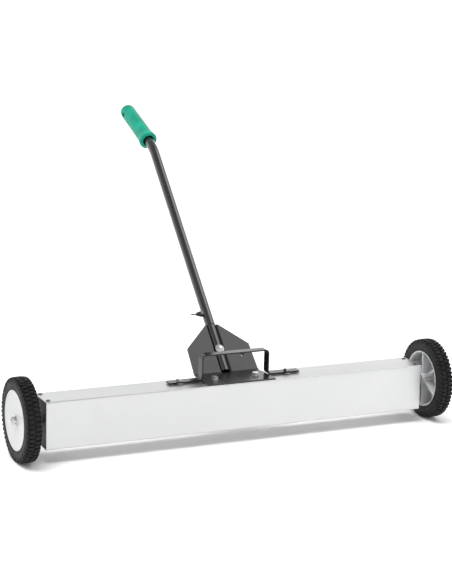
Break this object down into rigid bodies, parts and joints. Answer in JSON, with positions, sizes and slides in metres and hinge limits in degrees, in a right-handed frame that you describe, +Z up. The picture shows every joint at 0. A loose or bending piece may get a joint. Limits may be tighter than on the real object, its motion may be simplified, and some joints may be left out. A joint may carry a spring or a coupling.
{
  "type": "magnetic nail sweeper",
  "caption": "Wheeled magnetic floor sweeper with a long aluminium magnet housing, a lift strap that drops the nails and a telescopic handle with a green grip.",
  "frame": {"origin": "on the floor, under the middle of the line through the two wheel axles", "axes": "+Z up, +X along the axle line (the longest extent), +Y from the housing towards the handle, so it is pushed towards -Y"},
  "size_m": [1.01, 0.746, 0.6435],
  "materials": {
    "housing_aluminium": "satin",
    "end_plate_black": "semi-gloss",
    "bracket_black": "semi-gloss",
    "tube_black": "semi-gloss",
    "zinc_steel": "satin",
    "tyre_rubber": "matte",
    "rim_white": "gloss",
    "nylon": "matte",
    "grip_green": "satin",
    "magnet_ceramic": "matte",
    "channel_steel": "satin"
  },
  "bodies": {
    "housing": {"housing_roof": "housing_aluminium", "housing_floor": "housing_aluminium", "housing_walls": "housing_aluminium", "end_plate_left": "end_plate_black", "end_plate_right": "end_plate_black", "end_plate_screws": "end_plate_black", "axle_left": "zinc_steel", "axle_right": "zinc_steel", "axle_jam_nuts": "zinc_steel", "axle_spacers": "zinc_steel", "axle_washers": "zinc_steel", "axle_lock_nuts": "zinc_steel", "bracket_foot": "bracket_black", "bracket_plate": "bracket_black", "side_weld_nuts": "bracket_black", "bracket_bolts": "zinc_steel", "bracket_washers": "zinc_steel", "bracket_nuts": "zinc_steel", "lower_tube": "tube_black", "tube_bolt": "zinc_steel", "tube_bolt_washer": "zinc_steel", "tube_bolt_nut": "zinc_steel", "guide_bushings": "nylon"},
    "wheel_left": {"tyre_left": "tyre_rubber", "rim_barrel_left": "rim_white", "rim_face_left": "rim_white", "rim_ribs_left": "rim_white", "rim_hub_left": "rim_white", "hub_bushing_left": "nylon"},
    "wheel_right": {"tyre_right": "tyre_rubber", "rim_barrel_right": "rim_white", "rim_face_right": "rim_white", "rim_ribs_right": "rim_white", "rim_hub_right": "rim_white", "hub_bushing_right": "nylon"},
    "release": {"release_strap": "bracket_black", "lift_rods": "zinc_steel", "lift_rod_bolts": "zinc_steel", "magnet_channel": "channel_steel", "magnet_blocks": "magnet_ceramic", "glide_pads": "nylon"},
    "upper_pole": {"upper_tube": "tube_black", "clamp_nut": "tube_black", "grip": "grip_green"},
    "wing_screw": {"clamp_screw": "tube_black"}
  },
  "joints": [
    {"name": "wheel_left_spin", "type": "hinge", "parent": "housing", "child": "wheel_left", "pos_m": [-0.4795, 0, 0.089], "axis": [1, 0, 0], "continuous": true},
    {"name": "wheel_right_spin", "type": "hinge", "parent": "housing", "child": "wheel_right", "pos_m": [0.4795, 0, 0.089], "axis": [1, 0, 0], "continuous": true},
    {"name": "magnet_lift", "type": "slide", "parent": "housing", "child": "release", "axis": [0, 0, 1], "range_m": [0, 0.06]},
    {"name": "pole_extension", "type": "slide", "parent": "housing", "child": "upper_pole", "axis": [0, 0.7071, 0.7071], "range_m": [0, 0.3]},
    {"name": "wing_screw_turn", "type": "hinge", "parent": "upper_pole", "child": "wing_screw", "pos_m": [-0.02, 0.15714, 0.23915], "axis": [-1, 0, 0], "range_deg": [0, 270]}
  ]
}
